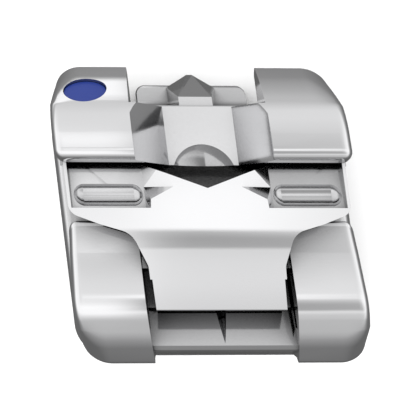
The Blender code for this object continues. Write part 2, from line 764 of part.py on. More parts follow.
def shoulder_cutter(side):
    """Clears the space under one shoulder of the head, along the slide's travel."""
    seat = SLOT_LOW_WALL - SLIDE_CLEARANCE
    near = seat + OVER / 2
    far = TAIL_END - OVER
    slope = math.tan(SLIDE_ANGLE)
    profile = [
        (near, SLIDE_BACK + (seat - near) * slope), (far, SLIDE_BACK + (seat - far) * slope),
        (far, SLOT_FLOOR), (near, SLOT_FLOOR)]
    x = sorted((side * (TAIL_HALF_WIDTH - EMBED), side * (HEAD_HALF_WIDTH + OVER)))
    return prism("under_shoulder_" + side_name(side), profile, x[0], x[1], "X")


def head_plan():
    """T outline: a head as wide as the bracket, shoulders that sweep in, and the tail."""
    w = HEAD_HALF_WIDTH
    t = TAIL_HALF_WIDTH
    right = [
        (0, V_POINT), (V_HALF_WIDTH, V_TOP), (V_HALF_WIDTH, HEAD_TOP + OVER), (w, HEAD_TOP + OVER),
        (w, HEAD_LOW, HEAD_CORNER), (w - SHOULDER_RUN, SHOULDER_LEVEL, SHOULDER_ROUND),
        (t + WAIST_RUN, WAIST_LEVEL, WAIST_ROUND), (t, TAIL_START, TAIL_CORNER), (t, TAIL_END - OVER)]
    left = [(-c[0], *c[1:]) for c in reversed(right[1:])]
    return rounded(right + left)


def rail_profile():
    low = CHANNEL_LEVEL - GROOVE_STEP + SLIDE_CLEARANCE
    start = STOP_FACE - SLIDE_CLEARANCE - EMBED
    end = RAIL_END
    return [
        (start, ramp(STOP_FACE, low, start)), (start, ramp(STOP_FACE, low, start) + RAIL_THICKNESS),
        (end, ramp(STOP_FACE, low, end) + RAIL_THICKNESS), (end, ramp(STOP_FACE, low, end))]


def pocket_level(y):
    """Height of the pocket floors, which fall towards the gum."""
    return SLIDE_FRONT - POCKET_DEPTH - (y - POCKET_LOW) * math.tan(POCKET_SLOPE)


def pocket_cutter(side):
    """One pocket of the head, with the slanted facet beside the raised tab."""
    outer = HEAD_HALF_WIDTH - POCKET_RIM
    top = HEAD_TOP + OVER
    tab = 2 * TAB_TOP_HALF - POCKET_INNER
    foot = 2 * TAB_FOOT_HALF - POCKET_INNER
    below = [(outer, top), (POCKET_INNER, top), (POCKET_INNER, TAB_TOP), (POCKET_INNER, POCKET_LOW),
             (outer, POCKET_LOW)]
    above = [(outer, top), (tab, top), (tab, TAB_TOP), (foot, POCKET_LOW), (outer, POCKET_LOW)]
    rings = [
        [(side * x, y, pocket_level(y)) for x, y in below],
        [(side * x, y, 2 * SLIDE_FRONT - pocket_level(y)) for x, y in above]]
    return loft("pocket_" + side_name(side), rings)


def trough_cutter(side):
    """Round-ended trough for the opening tool, along the low edge of one pocket."""
    inner = POCKET_INNER + TROUGH_MARGIN
    outer = HEAD_HALF_WIDTH - POCKET_RIM - TROUGH_MARGIN
    ends = sorted((side * inner, side * outer))
    y = POCKET_LOW + TROUGH_RADIUS + TROUGH_MARGIN
    return round_bar("trough_" + side_name(side), TROUGH_RADIUS, ends, y, pocket_level(y))


def keyhole(seat, run, length):
    """Outline of a round seat at the origin and a narrower round-ended run up to length."""
    neck = math.asin(run / seat)
    full = 2 * (math.pi - neck)
    points = []
    for i in range(SEAT_STEPS + 1):
        angle = math.pi / 2 + neck + full * i / SEAT_STEPS
        points.append((seat * math.cos(angle), seat * math.sin(angle)))
    for i in range(RUN_STEPS + 1):
        angle = math.pi * i / RUN_STEPS
        points.append((run * math.cos(angle), length + run * math.sin(angle)))
    return points


def retaining_slot():
    """Blind slot in the slide's back: a round seat for the closed position, then a straight run."""
    outline = keyhole(PIN_RADIUS + SEAT_EXTRA, PIN_RADIUS + PIN_CLEARANCE, SLIDE_TRAVEL + END_CLEARANCE)
    turned = pin_matrix() @ Matrix.Rotation(math.atan(LEAN), 4, "Z")
    return prism("retaining_slot", outline, -OVER, PIN_REACH + 2 * SLIDE_CLEARANCE, "Z", CUTTERS, turned)


def make_slide():
    slide = prism("slide", slide_profile(), -HEAD_HALF_WIDTH - OVER, HEAD_HALF_WIDTH + OVER, "X", PARTS)
    keep_inside(slide, prism("slide_plan", head_plan(), 0, UPPER_FRONT + OVER, "Z"))
    for side in (-1, 1):
        cut(slide, shoulder_cutter(side))
    join(slide, prism("rails", rail_profile(), -RAIL_HALF_WIDTH, RAIL_HALF_WIDTH, "X"))
    for side in (-1, 1):
        cut(slide, pocket_cutter(side))
        cut(slide, trough_cutter(side))
    cut(slide, retaining_slot())
    clean(slide)
    finish(slide, "polished_slide", (0.82, 0.82, 0.83), 0.10, 1.0)
    return slide


def centre_on_base(body):
    """Carry everything on one empty, so that the base's middle is the origin."""
    bpy.context.view_layer.update()
    shape = body.evaluated_get(bpy.context.evaluated_depsgraph_get())
    corners = [Vector(corner) for corner in shape.bound_box]
    carrier = bpy.data.objects.new("bracket_origin", None)
    PARTS.objects.link(carrier)
    for obj in list(PARTS.objects) + list(CUTTERS.objects):
        if obj is not carrier:
            obj.parent = carrier
    for i in range(2):
        carrier.location[i] = -(min(c[i] for c in corners) + max(c[i] for c in corners)) / 2


def main():
    body = make_body()
    make_slide()
    make_pin()
    make_dot()
    centre_on_base(body)


main()
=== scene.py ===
"""Looks of the self-ligating bracket: polished metal with soft edges, in a white studio.

+Z points away from the tooth, +Y to the gum and +X across the tooth. Outlines are drawn upright and leaned
afterwards, because the real bracket is a rhomboid. Each piece rides on the body of the part that it dresses.
"""
import json
import math

import bmesh
import bpy
from mathutils import Matrix, Vector

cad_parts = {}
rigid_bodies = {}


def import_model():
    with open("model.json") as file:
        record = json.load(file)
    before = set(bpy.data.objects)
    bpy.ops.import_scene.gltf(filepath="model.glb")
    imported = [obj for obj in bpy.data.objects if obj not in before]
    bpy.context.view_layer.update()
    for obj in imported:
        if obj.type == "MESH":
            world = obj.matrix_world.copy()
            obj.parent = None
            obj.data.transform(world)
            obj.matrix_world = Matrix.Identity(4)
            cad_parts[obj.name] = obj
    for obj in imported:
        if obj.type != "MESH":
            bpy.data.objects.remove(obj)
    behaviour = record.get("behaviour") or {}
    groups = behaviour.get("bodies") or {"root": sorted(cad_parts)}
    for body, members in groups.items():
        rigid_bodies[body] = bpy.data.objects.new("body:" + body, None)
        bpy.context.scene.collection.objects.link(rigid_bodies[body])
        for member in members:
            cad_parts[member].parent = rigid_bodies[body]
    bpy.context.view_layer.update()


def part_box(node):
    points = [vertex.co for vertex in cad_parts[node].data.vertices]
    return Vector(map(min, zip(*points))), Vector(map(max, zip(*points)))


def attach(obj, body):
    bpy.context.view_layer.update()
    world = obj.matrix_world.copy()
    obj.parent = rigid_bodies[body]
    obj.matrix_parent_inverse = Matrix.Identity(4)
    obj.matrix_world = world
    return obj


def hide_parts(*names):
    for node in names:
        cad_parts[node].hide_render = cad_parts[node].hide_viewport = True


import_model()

MM = 0.001

# Lean of the rhomboid: sideways shift for each unit of height
LEAN = 0.128

# Bonding base
BASE_HALF_WIDTH = 1.64 * MM
BASE_LOW_END = -1.53 * MM
BASE_SHOULDER = 1.26 * MM
BASE_THICKNESS = 0.34 * MM
BASE_CORNER = 0.34 * MM
BASE_EDGE_ROUND = 0.12 * MM
BASE_EDGE_STEPS = 5
TONGUE_HALF_WIDTH = 0.63 * MM
TONGUE_END = 1.54 * MM
TONGUE_CORNER = 0.11 * MM
POST_SIZE = 0.22 * MM
POST_PITCH_ACROSS = 0.44 * MM
POST_PITCH_UP = 0.40 * MM
POST_DEPTH = 0.13 * MM
POST_UNDERCUT = 0.03 * MM
POSTS_ACROSS = 6
POSTS_UP = 6
RIM_WIDTH = 0.16 * MM

# Archwire slot, 0.022 x 0.028 inch
SLOT_HEIGHT = 0.5588 * MM
SLOT_DEPTH = 0.7112 * MM
SLOT_LOW_WALL = -0.05 * MM
SLOT_MOUTH = 1.45 * MM
SLOT_WALL = 0.17 * MM
SLOT_EDGE_ROUND = 0.03 * MM

# Tie-wings
WING_HALF_WIDTH = 1.445 * MM
UPPER_CORNER = 0.30 * MM
LOWER_CORNER = 0.32 * MM
LOWER_SPLAY = 0.05
UPPER_GAP_HALF = 0.67 * MM
LOWER_GAP_HALF = 0.755 * MM
UPPER_FRONT = 1.95 * MM
UPPER_TIP = 1.57 * MM
UPPER_TIP_LEVEL = 1.16 * MM
UPPER_BEND = 0.98 * MM
UPPER_DROP = 0.06 * MM
UPPER_BULGE = 0.05 * MM
CREST_ROUND = 0.60 * MM
KNEE_ROUND = 2.0 * MM
LIP_END = 0.515 * MM
LIP_SLANT = 0.02 * MM
LIP_ROUND = 0.10 * MM
LOWER_TIP = -1.55 * MM
LOWER_TIP_LEVEL = 0.98 * MM
LOWER_TIP_ROUND = 0.16 * MM
LOWER_PEAK = -0.10 * MM
LOWER_CREASE = -0.37 * MM
LOWER_CREASE_ROUND = 0.10 * MM
LOWER_BEND = -0.92 * MM
LOWER_BEND_ROUND = 0.40 * MM
LOWER_BULGE = 0.05 * MM
LOWER_KNEE = 1.1 * MM
NECK_UPPER = 1.08 * MM
NECK_LOWER = -1.12 * MM
NECK_FILLET = 0.09 * MM
NECK_SPREAD = 0.15 * MM
TIP_THICKNESS = 0.14 * MM
TIP_SLANT = 0.055 * MM
TIP_ROUND = 0.05 * MM
UNDERCUT_RISE = 0.035 * MM
UNDERCUT_ROUND = 0.11 * MM

# Side edges of the wings: their round, its share underneath, and how the low wall's top falls back
WING_EDGE_ROUND = 0.085 * MM
UNDERSIDE_SHARE = 0.3
PEAK_FALL = (-1.5, -1.0)
EDGE_RINGS = 6
CORNER_RINGS = 12
CORNER_START = 1.2

# Bridge between the upper wings
BRIDGE_LEVEL = 1.50 * MM
BRIDGE_FLAT_HALF = 0.35 * MM
BRIDGE_TOP = 1.10 * MM
BRIDGE_SHOULDER = 0.10 * MM
NOTCH_RADIUS = 0.50 * MM
NOTCH_PLACE = 0.40 * MM
NOTCH_LIFT = 0.384 * MM

# Flank that falls from the bridge to the tongue, and the midline wedge on it
FLANK_DROP = 0.05 * MM
FLANK_RUN = 0.16 * MM
FLANK_FILLET = 0.25 * MM
WEDGE_END = 1.61 * MM
WEDGE_STEP = 0.12 * MM
WEDGE_DROP = 0.06 * MM
WEDGE_FOOT_HALF = 0.27 * MM
WEDGE_FOOT_SETBACK = 0.04 * MM
WEDGE_RIDGE_HALF = 0.17 * MM
WEDGE_TIP_HALF = 0.03 * MM
WEDGE_HEIGHT = 0.17 * MM

# Orientation dot
DOT_RADIUS = 0.215 * MM
DOT_PLACE = -1.09 * MM
DOT_DOWN_SLOPE = 0.39 * MM
DOT_DEPTH = 0.09 * MM
DOT_FILL = 0.04 * MM
DOT_CLEARANCE = 0.004 * MM

# Slide
SLIDE_ANGLE = math.radians(8.0)
SLIDE_CLEARANCE = 0.02 * MM
SLIDE_TRAVEL = 0.60 * MM
SLIDE_THICKNESS = 0.245 * MM
HEAD_HALF_WIDTH = 1.385 * MM
HEAD_TOP = 0.66 * MM
HEAD_LOW = 0.02 * MM
HEAD_CORNER = 0.12 * MM
SHOULDER_RUN = 0.285 * MM
SHOULDER_LEVEL = -0.09 * MM
SHOULDER_ROUND = 0.30 * MM
WAIST_RUN = 0.12 * MM
WAIST_LEVEL = -0.18 * MM
WAIST_ROUND = 0.20 * MM
TAIL_START = -0.50 * MM
TAIL_CORNER = 0.12 * MM
TAIL_HALF_WIDTH = 0.68 * MM
TAIL_END = -0.95 * MM
TAIL_FRONT_LEVEL = 1.42 * MM
TAIL_BEND = -0.23 * MM
TAIL_BEND_RADIUS = 0.62 * MM
TAIL_EDGE_ROUND = 0.02 * MM
CHANNEL_LEVEL = 0.98 * MM
CHANNEL_END = -1.33 * MM
CHANNEL_NOSE = 0.06 * MM
GROOVE_STEP = 0.01 * MM
RAIL_HALF_WIDTH = 0.85 * MM
RAIL_THICKNESS = 0.13 * MM
RAIL_END = -0.53 * MM
V_HALF_WIDTH = 0.63 * MM
V_TOP = 0.50 * MM
V_POINT = 0.265 * MM
POCKET_DEPTH = 0.07 * MM
POCKET_SLOPE = math.radians(8.0)
POCKET_LOW = 0.07 * MM
POCKET_INNER = 0.63 * MM
POCKET_RIM = 0.03 * MM
TAB_TOP_HALF = 0.335 * MM
TAB_TOP = 0.28 * MM
TAB_FOOT_HALF = 0.58 * MM
TROUGH_RADIUS = 0.112 * MM
TROUGH_MARGIN = 0.012 * MM
TROUGH_LIFT = 0.06 * MM

# Spring pin and its slot in the slide
PIN_RADIUS = 0.19 * MM
PIN_WALL = 0.05 * MM
PIN_SLIT = 0.07 * MM
PIN_LENGTH = 0.46 * MM
PIN_REACH = 0.14 * MM
PIN_PLACE = -0.66 * MM
PIN_CLEARANCE = 0.012 * MM
SEAT_EXTRA = 0.03 * MM
END_CLEARANCE = 0.02 * MM

# Recess past the slide's tail, and the scribe groove on its midline
RECESS_START = -0.94 * MM
RECESS_DEPTH = 0.08 * MM
SCRIBE_HALF_WIDTH = 0.075 * MM
SCRIBE_DEPTH = 0.06 * MM
SCRIBE_END = -1.31 * MM
SCRIBE_TAPER = 25

# Reach of a cut past the metal, overlap of joined shapes, and distances at which points merge
OVER = 0.3 * MM
EMBED = 0.02 * MM
MERGE = 1e-7
WELD = 0.002 * MM

# Fineness of the curves, and the share of an edge that a fillet may take
FILLET_STEPS = 12
BODY_STEPS = 16
SLIDE_STEPS = 20
SEAT_STEPS = 48
RUN_STEPS = 24
ROUND_SEGMENTS = 64
BAR_SEGMENTS = 40
DIMPLE_SEGMENTS = 80
DOT_SEGMENTS = 40
FILLET_SHARE = 0.48

# Small round on sharp edges, and the angles in degrees from which an edge is sharp or a fold stays crisp
EDGE = 0.012 * MM
PIN_EDGE = 0.004 * MM
EDGE_SEGMENTS = 3
EDGE_ANGLE = 28
BODY_FOLD = 26
SLIDE_FOLD = 11

# Metals: colour, roughness and the tone of the painted shade in the deepest hollows
BODY_STEEL = ((0.80, 0.80, 0.81), 0.09, 0.01)
SLIDE_STEEL = ((0.82, 0.82, 0.83), 0.12, 0.30)
SPRING_ALLOY = ((0.55, 0.55, 0.57), 0.25, 0.1)
CLOUD_SCALE = 1800
CLOUD_DETAIL = 4
CLOUD_SPREAD = 0.2
LINE_SCALE = 9000
LINE_DETAIL = 2
LINE_STRETCH = (1, 12, 1)
LINE_STRENGTH = 0.15
LINE_DEPTH = 0.0004 * MM
# Painted shade: ambient occlusion reach, samples and the occlusion range over which the metal's colour is
# darkened in recesses
PAINTED_SHADE_REACH = 1.2 * MM
PAINTED_SHADE_SAMPLES = 8
PAINTED_SHADE_DARK = 0.18
PAINTED_SHADE_LIGHT = 0.90

# Blue fill and floor
DOT_COLOUR = (0.005, 0.028, 0.23, 1)
DOT_ROUGHNESS = 0.5
FLOOR_SIZE = 120 * MM
FLOOR_COLOUR = (0.85, 0.85, 0.85, 1)
FLOOR_ROUGHNESS = 0.9

# Studio: grey bands as (degrees from straight up, brightness), blended from the left part to the right
WORLD_STRENGTH = 1.25
LEFT_PART = -0.07
RIGHT_PART = -0.02
BANDS_LEFT = [
    (-178, 0.08), (-112, 0.12), (-100, 0.20), (-90, 0.28), (-80, 0.42), (-68, 0.56), (-60, 0.72),
    (-50, 0.95), (-30, 1.00), (-14, 0.82), (4, 0.75), (13, 0.72), (16, 0.56), (19, 0.90), (22, 0.98),
    (25, 0.74), (40, 0.71), (63, 0.69), (82, 0.62), (96, 0.60), (101, 0.98), (117, 0.98), (123, 0.26),
    (140, 0.20), (178, 0.10)]
BANDS_RIGHT = [
    (-178, 0.08), (-112, 0.12), (-100, 0.20), (-90, 0.29), (-80, 0.42), (-68, 0.52), (-56, 0.56),
    (-49, 0.66), (-46, 0.74), (-43, 0.62), (-38, 0.36), (-22, 0.32), (-9, 0.40), (-4, 0.75), (0, 0.98),
    (4, 0.98), (8, 0.72), (13, 0.73), (16, 0.55), (19, 0.44), (25, 0.60), (35, 0.65), (54, 0.70),
    (73, 0.69), (82, 0.62), (99, 0.50), (107, 0.41), (118, 0.32), (127, 0.23), (178, 0.10)]
BANDS_ACROSS = [
    (-178, 0.12), (-110, 0.15), (-92, 0.20), (-80, 0.42), (-62, 0.95), (-24, 0.90), (-12, 0.75),
    (-4, 0.90), (0, 0.98), (4, 0.98), (12, 0.75), (24, 0.90), (62, 0.98), (80, 0.42), (92, 0.20),
    (110, 0.15), (178, 0.12)]

# Soft light from above, with its tilt and its softness in degrees
SUN_STRENGTH = 2.6
SUN_SOFTNESS = 60
SUN_LOW = 12
SUN_LEFT = 10

# Camera: size of one of the picture's points on the bracket, distance, and angles in degrees
PHOTO_WIDTH = 420
PIXEL = 0.00965 * MM
CAMERA_DISTANCE = 9 * MM
CAMERA_LEFT = 2.0
CAMERA_LOW = 2.5
LOOK_AT = (-0.032 * MM, 0.0045 * MM, 1.85 * MM)
CLIP_NEAR = 0.1
CLIP_FAR = 100

# Directions in which an outline is laid: across, along or flat
TURNS = {
    "X": Matrix(((0, 0, 1, 0), (1, 0, 0, 0), (0, 1, 0, 0), (0, 0, 0, 1))),
    "Y": Matrix(((1, 0, 0, 0), (0, 0, 1, 0), (0, 1, 0, 0), (0, 0, 0, 1))),
    "Z": Matrix.Identity(4),
}

# Levels that follow from the sizes above
SLOT_FLOOR = SLOT_MOUTH - SLOT_DEPTH
SLOT_HIGH_WALL = SLOT_LOW_WALL + SLOT_HEIGHT
SLIDE_BACK = SLOT_MOUTH + SLIDE_CLEARANCE
SLIDE_FRONT = SLIDE_BACK + SLIDE_THICKNESS
STOP_FACE = SLOT_LOW_WALL - SLOT_WALL
VIEW_WIDTH = PHOTO_WIDTH * PIXEL


def new_group(name):
    made = bpy.data.collections.new(name)
    bpy.context.scene.collection.children.link(made)
    return made


PARTS = new_group("dressed_bracket")
CUTTERS = new_group("cutters")


def ramp(start, level, y):
    """Height at y of a plane that follows the slide's travel from start."""
    return level + max(0.0, start - y) * math.tan(SLIDE_ANGLE)


def arc_corner(before, corner, after, radius, steps):
    """Points of a fillet at one corner of an outline."""
    p = Vector(corner)
    a = (Vector(before) - p).normalized()
    b = (Vector(after) - p).normalized()
    half = a.angle(b) / 2
    room = FILLET_SHARE * min((Vector(before) - p).length, (Vector(after) - p).length)
    reach = min(radius / math.tan(half), room)
    centre = p + (a + b).normalized() * reach / math.cos(half)
    start = p + a * reach - centre
    turn = start.angle_signed(p + b * reach - centre)
    return [centre + Matrix.Rotation(-turn * i / steps, 2) @ start for i in range(steps + 1)]


def rounded(corners, steps=FILLET_STEPS):
    """Outline from (a, b) or (a, b, radius) corners, with the given fillets."""
    points = []
    for i, corner in enumerate(corners):
        if len(corner) == 2:
            points.append(Vector(corner))
            continue
        before = corners[i - 1][:2]
        after = corners[(i + 1) % len(corners)][:2]
        points += arc_corner(before, corner[:2], after, corner[2], steps)
    return points


def lean(mesh):
    for vertex in mesh.vertices:
        vertex.co.x -= LEAN * vertex.co.y


def new_object(name, mesh, group):
    obj = bpy.data.objects.new(name, mesh)
    group.objects.link(obj)
    return obj


def mesh_from(name, shape):
    """Mesh of a finished shape, which is freed."""
    mesh = bpy.data.meshes.new(name)
    shape.to_mesh(mesh)
    shape.free()
    return mesh


def closed_mesh(source, turn):
    """Mesh of a filled curve, with its caps welded and its shape turned into place."""
    bpy.context.view_layer.update()
    graph = bpy.context.evaluated_depsgraph_get()
    mesh = bpy.data.meshes.new_from_object(source.evaluated_get(graph))
    bpy.data.objects.remove(source)
    mesh.transform(turn)
    shape = bmesh.new()
    shape.from_mesh(mesh)
    bmesh.ops.remove_doubles(shape, verts=shape.verts, dist=MERGE)
    bmesh.ops.recalc_face_normals(shape, faces=shape.faces)
    shape.to_mesh(mesh)
    shape.free()
    return mesh


def prism(name, points, low, high, along, group=CUTTERS, place=None):
    """Outline in the two axes other than `along`, extruded from low to high, then leaned or placed."""
    curve = bpy.data.curves.new(name, "CURVE")
    curve.dimensions = "2D"
    curve.fill_mode = "BOTH"
    curve.extrude = (high - low) / 2
    spline = curve.splines.new("POLY")
    spline.points.add(len(points) - 1)
    for target, (a, b) in zip(spline.points, points):
        target.co = (a, b, 0, 1)
    spline.use_cyclic_u = True
    source = bpy.data.objects.new(name, curve)
    bpy.context.scene.collection.objects.link(source)
    mid = Matrix.Translation((0, 0, (low + high) / 2))
    mesh = closed_mesh(source, TURNS[along] @ mid)
    if place is None:
        lean(mesh)
    else:
        mesh.transform(place)
    return new_object(name, mesh, group)


def block(name, x, y, z):
    corners = [(x[0], y[0]), (x[1], y[0]), (x[1], y[1]), (x[0], y[1])]
    return prism(name, corners, z[0], z[1], "Z")


def solid(name, shape, group=CUTTERS):
    """Closed object of a shape drawn upright, then leaned."""
    bmesh.ops.remove_doubles(shape, verts=shape.verts, dist=MERGE)
    bmesh.ops.triangulate(shape, faces=[f for f in shape.faces if len(f.verts) == 4])
    bmesh.ops.recalc_face_normals(shape, faces=shape.faces)
    mesh = mesh_from(name, shape)
    lean(mesh)
    return new_object(name, mesh, group)


def loft(name, rings, group=CUTTERS, crease=None):
    """Skin between outlines of equal point count, with its ends folded from the last point to a crease."""
    shape = bmesh.new()
    loops = [[shape.verts.new(point) for point in ring] for ring in rings]
    for lower, upper in zip(loops, loops[1:]):
        for i in range(len(lower)):
            j = (i + 1) % len(lower)
            shape.faces.new((lower[i], lower[j], upper[j], upper[i]))
    for loop in (loops[0], loops[-1]):
        if crease is None:
            shape.faces.new(loop)
        else:
            shape.faces.new(loop[crease:])
            shape.faces.new(loop[:crease + 1] + loop[-1:])
    return solid(name, shape, group)


def sphere(radius, segments):
    shape = bmesh.new()
    bmesh.ops.create_uvsphere(shape, u_segments=segments, v_segments=segments // 2, radius=radius)
    return shape


def ball(name, radius, centre):
    shape = sphere(radius, ROUND_SEGMENTS)
    bmesh.ops.translate(shape, vec=centre, verts=shape.verts)
    return solid(name, shape)


def round_bar(name, radius, ends, y, z):
    """Bar along X with round ends."""
    shape = sphere(radius, BAR_SEGMENTS)
    bmesh.ops.rotate(shape, matrix=Matrix.Rotation(math.pi / 2, 3, "Y"), verts=shape.verts)
    middle = (ends[0] + ends[1]) / 2
    half = (ends[1] - ends[0]) / 2 - radius
    for vertex in shape.verts:
        side = 0 if abs(vertex.co.x) < MERGE else math.copysign(1, vertex.co.x)
        vertex.co += Vector((middle + side * half, y, z))
    return solid(name, shape)


def side_name(side):
    return "left" if side < 0 else "right"


def boolean(target, tool, operation):
    modifier = target.modifiers.new(tool.name, "BOOLEAN")
    modifier.operation = operation
    modifier.object = tool
    modifier.solver = "EXACT"


def cut(target, tool):
    boolean(target, tool, "DIFFERENCE")


def join(target, tool):
    boolean(target, tool, "UNION")


def keep_inside(target, tool):
    boolean(target, tool, "INTERSECT")


def clean(obj):
    """Merge the hair-thin leftovers of the cuts."""
    weld = obj.modifiers.new("weld", "WELD")
    weld.merge_threshold = WELD


def base_outline():
    """Plan of the bonding base, with the tongue that carries the midline wedge."""
    w = BASE_HALF_WIDTH
    t = TONGUE_HALF_WIDTH
    return rounded([
        (-w, BASE_LOW_END, BASE_CORNER), (w, BASE_LOW_END, BASE_CORNER),
        (w, BASE_SHOULDER, BASE_CORNER), (t, BASE_SHOULDER),
        (t, TONGUE_END, TONGUE_CORNER), (-t, TONGUE_END, TONGUE_CORNER),
        (-t, BASE_SHOULDER), (-w, BASE_SHOULDER, BASE_CORNER)])


def inward_steps(outline):
    """Step at each point of an outline that shrinks it by one unit."""
    area = sum(a.cross(b) for a, b in zip(outline, outline[1:] + outline[:1]))
    steps = []
    for i, point in enumerate(outline):
        before = (point - outline[i - 1]).normalized()
        after = (outline[(i + 1) % len(outline)] - point).normalized()
        side = Vector((-before.y - after.y, before.x + after.x))
        steps.append(side * math.copysign(1, area) / (1 + before.dot(after)))
    return steps


def make_base():
    """Bonding base, with a rounded edge on its upper side."""
    outline = base_outline()
    steps = inward_steps(outline)
    rings = [[(x, y, 0) for x, y in outline]]
    for i in range(BASE_EDGE_STEPS + 1):
        angle = math.pi / 2 * i / BASE_EDGE_STEPS
        inset = BASE_EDGE_ROUND * (1 - math.cos(angle))
        z = BASE_THICKNESS - BASE_EDGE_ROUND * (1 - math.sin(angle))
        rings.append([(*(point + step * inset), z) for point, step in zip(outline, steps)])
    return loft("bracket_body", rings, PARTS)


def upper_slope(share, lift):
    """Point above the straight line from the upper wings' bend to their tip."""
    bend = Vector((UPPER_BEND, UPPER_FRONT - UPPER_DROP))
    line = Vector((UPPER_TIP, UPPER_TIP_LEVEL)) - bend
    return bend + line * share + Vector((-line.y, line.x)).normalized() * lift


def lower_slope(share, lift):
    """Point above the straight line from the lower wings' bend to their tip."""
    bend = Vector((LOWER_BEND, ramp(SLOT_LOW_WALL, SLIDE_BACK - 2 * SLIDE_CLEARANCE, LOWER_BEND)))
    line = Vector((LOWER_TIP, LOWER_TIP_LEVEL)) - bend
    return bend + line * share + Vector((line.y, -line.x)).normalized() * lift


def side_profile():
    """Side view of the body: both wings, their necks and the archwire slot between them."""
    lip = SLIDE_FRONT + SLIDE_CLEARANCE
    clear = SLIDE_BACK - 2 * SLIDE_CLEARANCE
    peak = SLOT_MOUTH - SLIDE_CLEARANCE
    under_upper = UPPER_TIP_LEVEL - TIP_THICKNESS
    under_lower = LOWER_TIP_LEVEL - TIP_THICKNESS
    foot = BASE_THICKNESS + NECK_FILLET
    buried = BASE_THICKNESS / 2
    return rounded([
        (SLOT_HIGH_WALL, SLOT_FLOOR),
        (SLOT_HIGH_WALL, SLOT_MOUTH, SLOT_EDGE_ROUND),
        (LIP_END, lip),
        (LIP_END + LIP_SLANT, UPPER_FRONT, LIP_ROUND),
        (*upper_slope(0, 0), CREST_ROUND),
        (*upper_slope(0.5, UPPER_BULGE), KNEE_ROUND),
        (UPPER_TIP, UPPER_TIP_LEVEL, TIP_ROUND),
        (UPPER_TIP - TIP_SLANT, under_upper, TIP_ROUND),
        (NECK_UPPER, under_upper + UNDERCUT_RISE, UNDERCUT_ROUND),
        (NECK_UPPER, foot, NECK_FILLET),
        (NECK_UPPER + NECK_SPREAD, BASE_THICKNESS - EMBED),
        (NECK_UPPER + NECK_SPREAD, buried),
        (SLOT_LOW_WALL, buried),
        (NECK_LOWER - NECK_SPREAD, buried),
        (NECK_LOWER - NECK_SPREAD, BASE_THICKNESS - EMBED),
        (NECK_LOWER, foot, NECK_FILLET),
        (NECK_LOWER, under_lower + UNDERCUT_RISE, UNDERCUT_ROUND),
        (LOWER_TIP + TIP_SLANT, under_lower, TIP_ROUND),
        (LOWER_TIP, LOWER_TIP_LEVEL, LOWER_TIP_ROUND),
        (*lower_slope(0.5, LOWER_BULGE), LOWER_KNEE),
        (LOWER_BEND, ramp(SLOT_LOW_WALL, clear, LOWER_BEND), LOWER_BEND_ROUND),
        (LOWER_CREASE, ramp(SLOT_LOW_WALL, clear, LOWER_CREASE), LOWER_CREASE_ROUND),
        (LOWER_PEAK, peak, SLOT_EDGE_ROUND),
        (SLOT_LOW_WALL, peak, SLOT_EDGE_ROUND),
        (SLOT_LOW_WALL, SLOT_FLOOR)], steps=BODY_STEPS)


def wing_steps(profile):
    """Inward steps of the side view, with the slot left square and the low wall's top drawn back."""
    steps = []
    for point, step in zip(profile, inward_steps(profile)):
        on_peak = LOWER_PEAK - SLOT_EDGE_ROUND < point.x < SLOT_LOW_WALL + MERGE
        in_slot = SLOT_LOW_WALL - MERGE < point.x < SLOT_HIGH_WALL + SLOT_EDGE_ROUND + MERGE
        if on_peak and point.y > SLOT_MOUTH - SLOT_DEPTH / 2:
            step = Vector(PEAK_FALL)
        elif in_slot and point.y < SLIDE_BACK:
            step = Vector((0, 0))
        steps.append(step * UNDERSIDE_SHARE if step.y > 0 else step)
    return steps


def fallen_back(radius, depth):
    """How far a quarter round of this radius has fallen back at a depth from its outer end."""
    return radius - math.sqrt(max(0.0, radius ** 2 - max(0.0, radius - depth) ** 2))


def wing_ring(profile, steps, depth, side):
    """Side view of the wings at a depth from their outer side, drawn in for the rounded edges."""
    upper = 1 - fallen_back(UPPER_CORNER, depth) / (UPPER_TIP - NECK_UPPER)
    lower = 1 - fallen_back(LOWER_CORNER, depth) / (NECK_LOWER - LOWER_TIP)
    ring = []
    for point, step in zip(profile, steps):
        y, z = point + step * fallen_back(WING_EDGE_ROUND, depth)
        y = NECK_UPPER + (y - NECK_UPPER) * upper if y > NECK_UPPER else y
        y = NECK_LOWER + (y - NECK_LOWER) * lower if y < NECK_LOWER else y
        splay = LOWER_SPLAY * max(0.0, SLOT_LOW_WALL - y)
        ring.append((side * (WING_HALF_WIDTH - depth + splay), y, z))
    return ring


def quarter_depths(radius, count):
    """Depths of even steps round a quarter circle."""
    return [radius * (1 - math.cos(math.pi / 2 * i / count)) for i in range(count + 1)]


def make_wings():
    """Both pairs of tie-wings as one skin from the left side to the right."""
    profile = side_profile()
    steps = wing_steps(profile)
    corner = quarter_depths(UPPER_CORNER, CORNER_RINGS)
    depths = quarter_depths(WING_EDGE_ROUND, EDGE_RINGS)
    depths += [depth for depth in corner if depth > CORNER_START * WING_EDGE_ROUND]
    left = [wing_ring(profile, steps, depth, -1) for depth in depths]
    right = [wing_ring(profile, steps, depth, 1) for depth in reversed(depths)]
    under_slot = min(range(len(profile)), key=lambda i: profile[i].y + abs(profile[i].x - SLOT_LOW_WALL))
    return loft("wings", left + right, crease=under_slot)


def bridge_cutter():
    """Trough over the bridge: a flat middle and a slanted facet up to each wing."""
    shoulder = UPPER_FRONT - BRIDGE_SHOULDER
    outline = [
        (-BRIDGE_FLAT_HALF, BRIDGE_LEVEL), (BRIDGE_FLAT_HALF, BRIDGE_LEVEL),
        (UPPER_GAP_HALF, shoulder), (UPPER_GAP_HALF, UPPER_FRONT + OVER),
        (-UPPER_GAP_HALF, UPPER_FRONT + OVER), (-UPPER_GAP_HALF, shoulder)]
    return prism("bridge_trough", outline, SLOT_LOW_WALL, UPPER_TIP + OVER, "Y")


